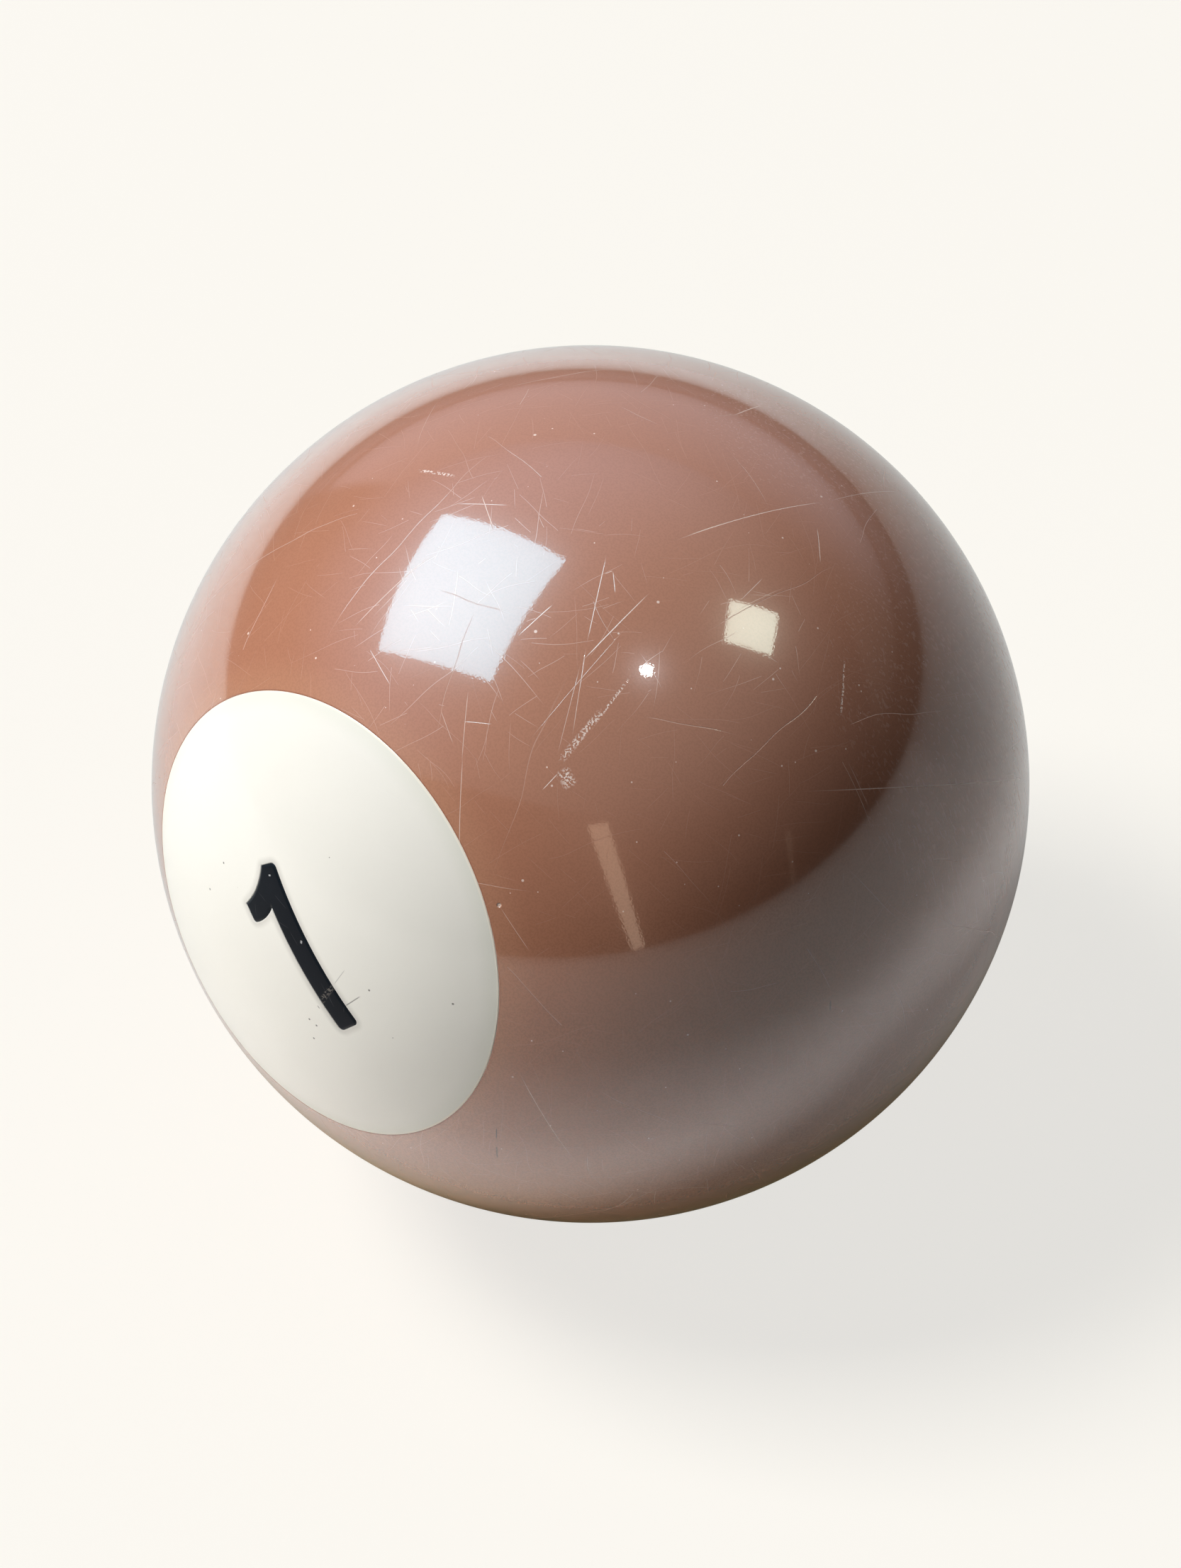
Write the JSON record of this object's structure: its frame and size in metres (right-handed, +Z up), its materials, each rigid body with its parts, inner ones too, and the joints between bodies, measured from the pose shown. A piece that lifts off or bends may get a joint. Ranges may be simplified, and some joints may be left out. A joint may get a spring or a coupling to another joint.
{
  "type": "numbered pool ball",
  "caption": "Solid cast-resin pool ball, brown and glossy, with a large ivory number disc and a black numeral inlaid on opposite sides.",
  "frame": {"origin": "centre of the ball", "axes": "+Z up as the ball lies at rest on a level surface; the front number's axis lies in the YZ plane and points 16.5 degrees above -Y, and the back number is exactly opposite it"},
  "size_m": [0.0572, 0.0572, 0.0572],
  "materials": {
    "body_resin": "gloss",
    "disc_resin": "gloss",
    "numeral_resin": "gloss"
  },
  "bodies": {
    "root": {"ball_body": "body_resin", "number_disc_front": "disc_resin", "number_disc_back": "disc_resin", "numeral_front": "numeral_resin", "numeral_back": "numeral_resin"}
  },
  "joints": []
}
